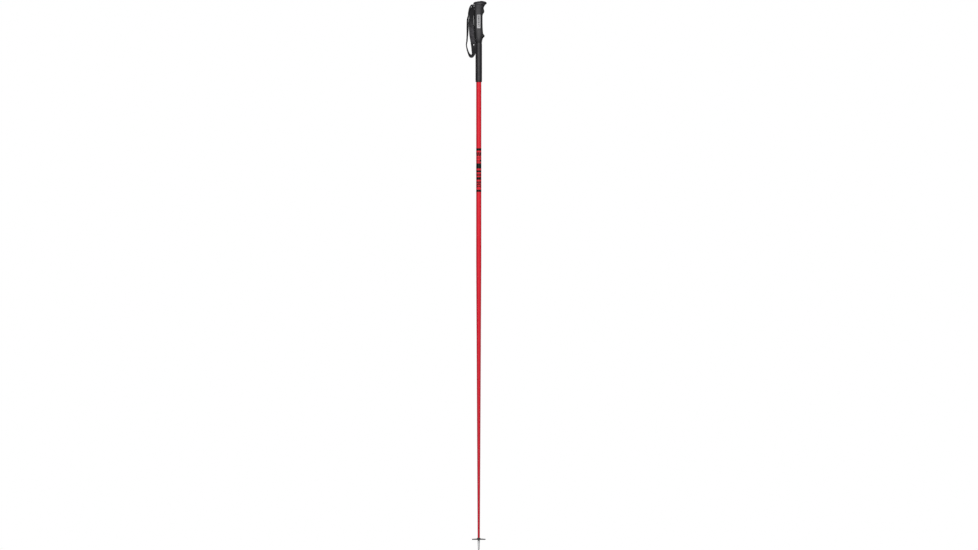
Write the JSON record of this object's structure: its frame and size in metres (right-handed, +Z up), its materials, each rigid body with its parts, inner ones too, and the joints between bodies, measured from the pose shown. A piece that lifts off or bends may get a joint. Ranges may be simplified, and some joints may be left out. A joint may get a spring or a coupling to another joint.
{
  "type": "ski pole",
  "caption": "Alpine ski pole: tapered tube shaft, grip with finger ridges and beak, wrist strap held by a wedge, long hand sleeve, small snow basket and metal tip.",
  "frame": {"origin": "centre of the tip's flat end, on the shaft's axis", "axes": "+Z up the shaft's axis towards the grip; +X forwards, the side the fingers close on and the beak points to, so the wrist strap hangs on the -X side; +Y across the grip"},
  "size_m": [0.0535, 0.0348, 1.4],
  "materials": {
    "red_paint": "gloss red lacquer on an aluminium tube, with a dark printed band",
    "plug_plastic": "matte moulded",
    "grip_charcoal": "fine moulded grain, dark grey",
    "soft_black": "soft-touch black",
    "cap_rubber": "soft-touch black",
    "sleeve_rubber": "satin, fine grain",
    "badge_grey": "satin light grey with a dark abstract pattern",
    "webbing": "woven webbing",
    "pad_fabric": "brushed knit",
    "wedge_plastic": "matte moulded",
    "pin_steel": "plain",
    "basket_plastic": "matte moulded",
    "tip_steel": "turned, satin",
    "insert_steel": "ground"
  },
  "bodies": {
    "pole": {"shaft": "red_paint", "shaft_top_plug": "plug_plastic", "grip_shell": "grip_charcoal", "finger_pad": "soft_black", "palm_pad": "soft_black", "grip_cap": "cap_rubber", "badge_left": "badge_grey", "badge_right": "badge_grey", "grip_collar": "soft_black", "grip_sleeve": "sleeve_rubber", "strap_anchor_pin": "pin_steel", "strap_tail": "webbing", "tip_ferrule": "tip_steel", "tip_insert": "insert_steel"},
    "basket": {"basket": "basket_plastic"},
    "strap_lock": {"strap_wedge": "wedge_plastic"},
    "strap": {"strap_loop": "webbing", "wrist_pad": "pad_fabric"}
  },
  "joints": [
    {"name": "strap_swing", "type": "hinge", "parent": "pole", "child": "strap", "pos_m": [-0.0158, 0, 1.388], "axis": [0, 1, 0], "range_deg": [0, 90]},
    {"name": "strap_wedge_lift", "type": "slide", "parent": "pole", "child": "strap_lock", "axis": [0, 0, 1], "range_m": [0, 0.008]},
    {"name": "basket_spin", "type": "hinge", "parent": "pole", "child": "basket", "pos_m": [0, 0, 0.028], "axis": [0, 0, 1], "continuous": true}
  ]
}
